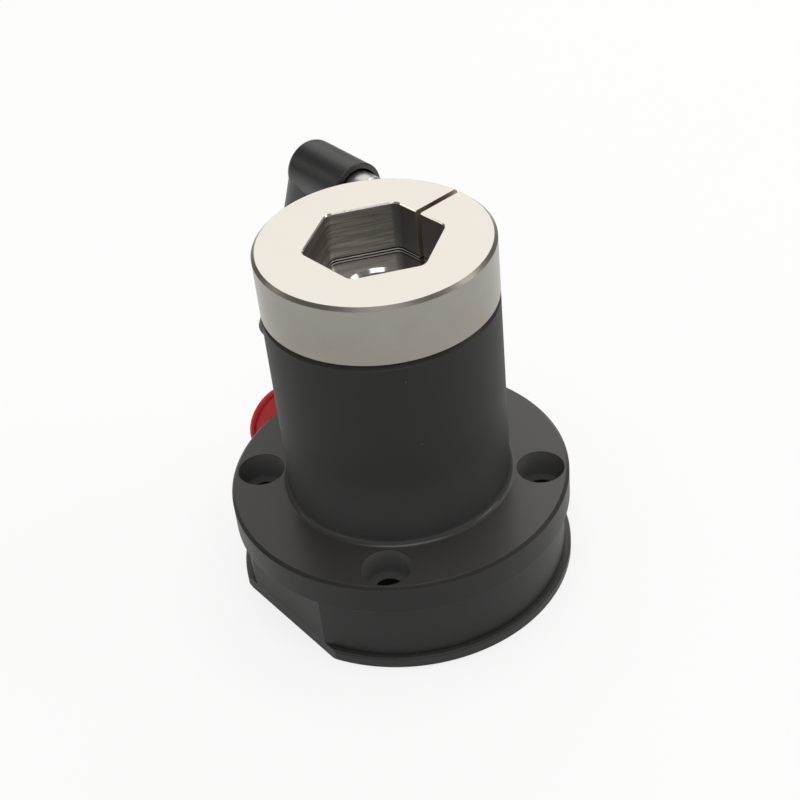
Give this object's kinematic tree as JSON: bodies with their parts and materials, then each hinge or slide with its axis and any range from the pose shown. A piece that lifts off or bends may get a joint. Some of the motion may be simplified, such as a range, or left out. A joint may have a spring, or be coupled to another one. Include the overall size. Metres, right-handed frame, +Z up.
{
  "type": "torque transducer",
  "caption": "Static torque transducer: split clamp ring with a hexagon socket and indexing lever on a gauged spindle, in a black flanged housing with a capped side connector.",
  "frame": {"origin": "on the spindle axis, at the underside of the base plate", "axes": "+Z up the spindle axis towards the hexagon socket, +X towards the slot of the clamp ring, +Y towards the clamp lever and the connector"},
  "size_m": [0.107, 0.1392, 0.119],
  "materials": {
    "black_anodised": "black anodised, satin",
    "ring_steel": "fine turned, bright",
    "spindle_steel": "turned",
    "screw_steel": "black oxide",
    "bearing_steel": "ground",
    "cage_brass": "turned",
    "nickel_brass": "nickel plated, satin",
    "gold_contact": "gold plated",
    "seal_rubber": "matt",
    "gauge_film": "translucent film",
    "cable_sheath": "matt",
    "board_laminate": "solder mask",
    "black_moulding": "moulded",
    "lever_black": "moulded, fine satin",
    "red_cap": "soft moulded, semi-matt"
  },
  "bodies": {
    "root": {"housing": "black_anodised", "housing_tube": "black_anodised", "base_plate": "black_anodised", "base_plate_seal": "seal_rubber", "base_plate_screws": "screw_steel", "spindle": "spindle_steel", "spindle_foot_screws": "screw_steel", "spindle_foot_dowels": "bearing_steel", "bearing_inner_race": "bearing_steel", "bearing_outer_race": "bearing_steel", "bearing_balls": "bearing_steel", "bearing_cage": "cage_brass", "bearing_circlip": "screw_steel", "head_seal": "seal_rubber", "clamp_ring": "ring_steel", "clamp_ring_screws": "screw_steel", "clamp_ring_dowels": "bearing_steel", "strain_gauges": "gauge_film", "gauge_cable": "cable_sheath", "amplifier_board": "board_laminate", "board_parts": "black_moulding", "board_header": "black_moulding", "board_spacers": "nickel_brass", "board_screws": "screw_steel", "connector_shell": "nickel_brass", "connector_insert": "black_moulding", "connector_pins": "gold_contact", "connector_gasket": "seal_rubber"},
    "clamp_washers": {"thrust_washer": "ring_steel", "spacer_sleeve": "ring_steel"},
    "clamp_spindle": {"clamp_screw": "ring_steel", "lever_screw": "screw_steel", "lever_spring": "bearing_steel"},
    "lever": {"lever_handle": "lever_black"},
    "cap": {"connector_cap": "red_cap"}
  },
  "joints": [
    {"name": "clamp_travel", "type": "slide", "parent": "root", "child": "clamp_washers", "axis": [0, 1, 0], "range_m": [0, 0.00125]},
    {"name": "clamp_turn", "type": "hinge", "parent": "clamp_washers", "child": "clamp_spindle", "pos_m": [0.025, 0, 0.108], "axis": [0, 1, 0], "range_deg": [0, 360]},
    {"name": "lever_lift", "type": "slide", "parent": "clamp_spindle", "child": "lever", "axis": [0, 1, 0], "range_m": [0, 0.0036], "stiffness_N_per_m": 800, "springref_m": -0.005, "deforming": ["lever_spring"]},
    {"name": "cap_pull", "type": "slide", "parent": "root", "child": "cap", "axis": [0, 1, 0], "range_m": [0, 0.03]}
  ],
  "couplings": [
    {"joint": "clamp_turn", "follows": "clamp_travel", "rad_per_m": 5026.5}
  ]
}
